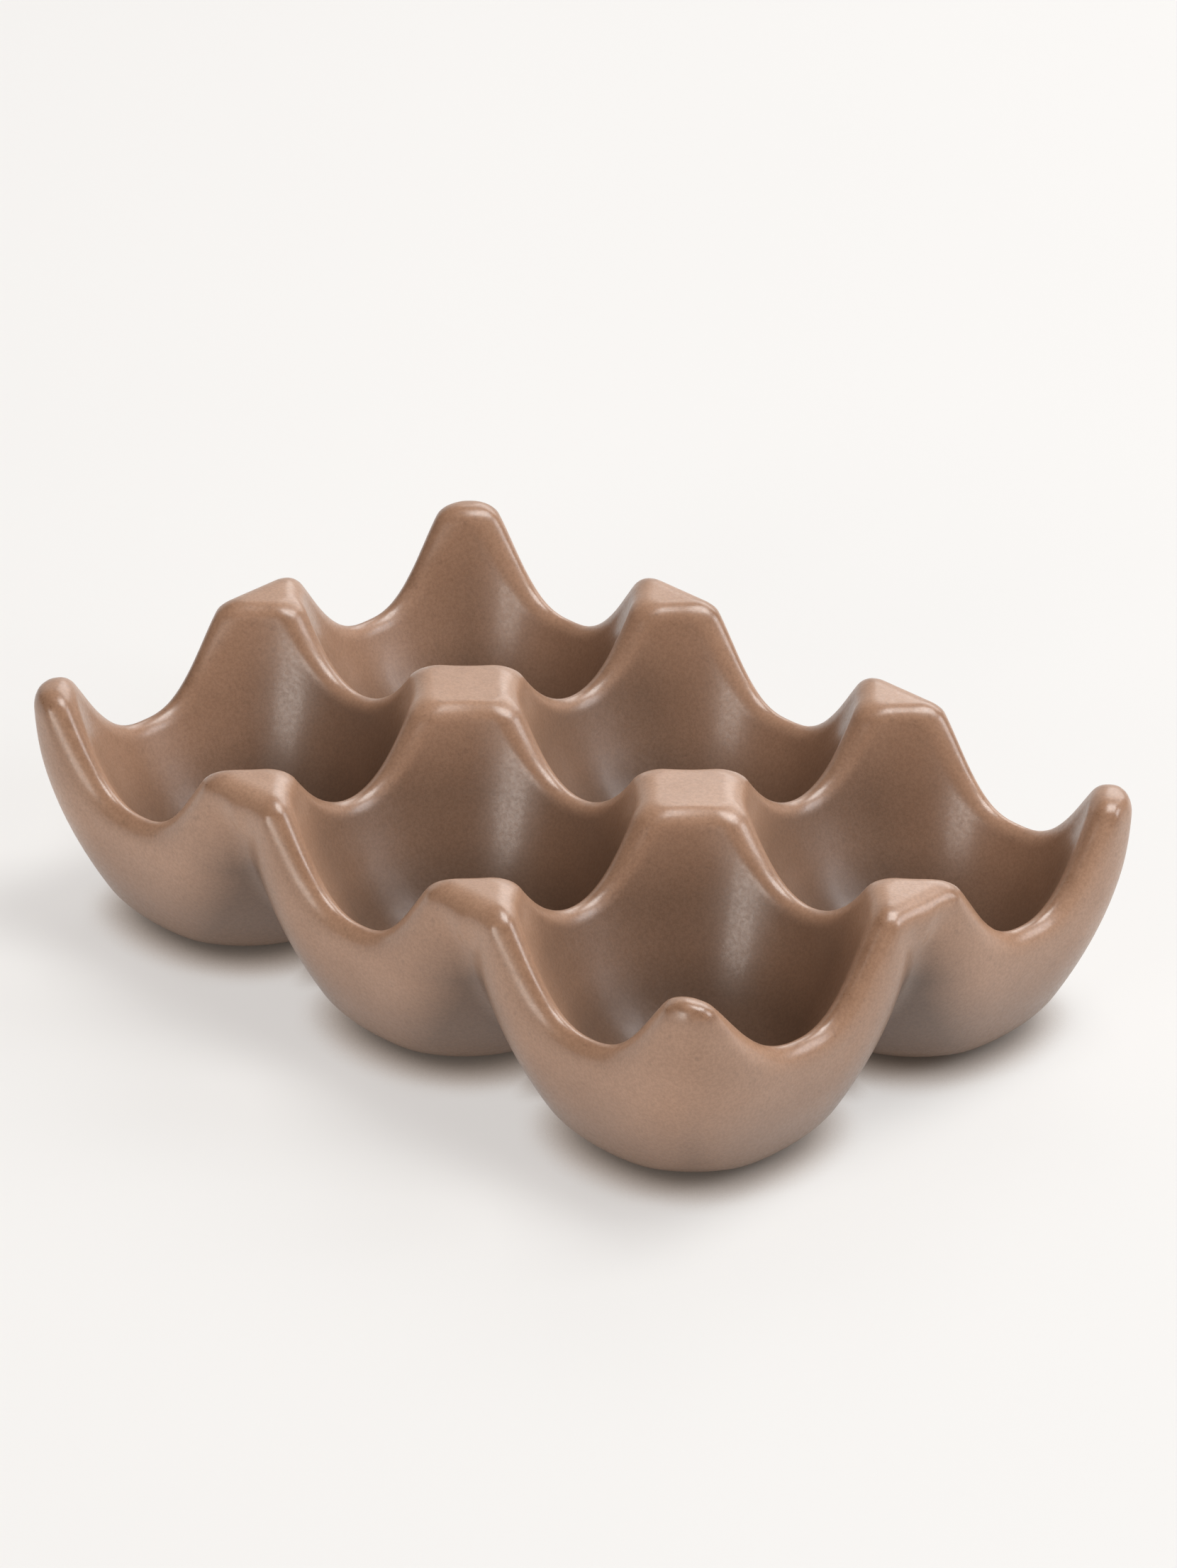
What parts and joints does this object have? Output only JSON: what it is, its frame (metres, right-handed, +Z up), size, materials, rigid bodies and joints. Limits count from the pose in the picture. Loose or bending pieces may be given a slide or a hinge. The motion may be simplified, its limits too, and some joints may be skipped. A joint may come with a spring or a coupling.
{
  "type": "egg holder tray",
  "caption": "Rectangular ceramic egg crate: round egg cups in two rows, joined by curved saddles and flat-topped peaks, with a glazed rim that dips beside each cup.",
  "frame": {"origin": "on the surface the tray stands on, under the middle of its outline", "axes": "+X along the row of three cups, +Y across the two rows, +Z up"},
  "size_m": [0.1548, 0.1038, 0.0413],
  "materials": {
    "glazed_stoneware": "satin taupe glaze, finely speckled, warmer and darker where it thins over the rounded edges",
    "clear_silicone": "translucent, soft matt"
  },
  "bodies": {
    "root": {"tray_body": "glazed_stoneware", "foot_pad_1": "clear_silicone", "foot_pad_2": "clear_silicone", "foot_pad_3": "clear_silicone", "foot_pad_4": "clear_silicone", "foot_pad_5": "clear_silicone", "foot_pad_6": "clear_silicone"}
  },
  "joints": []
}
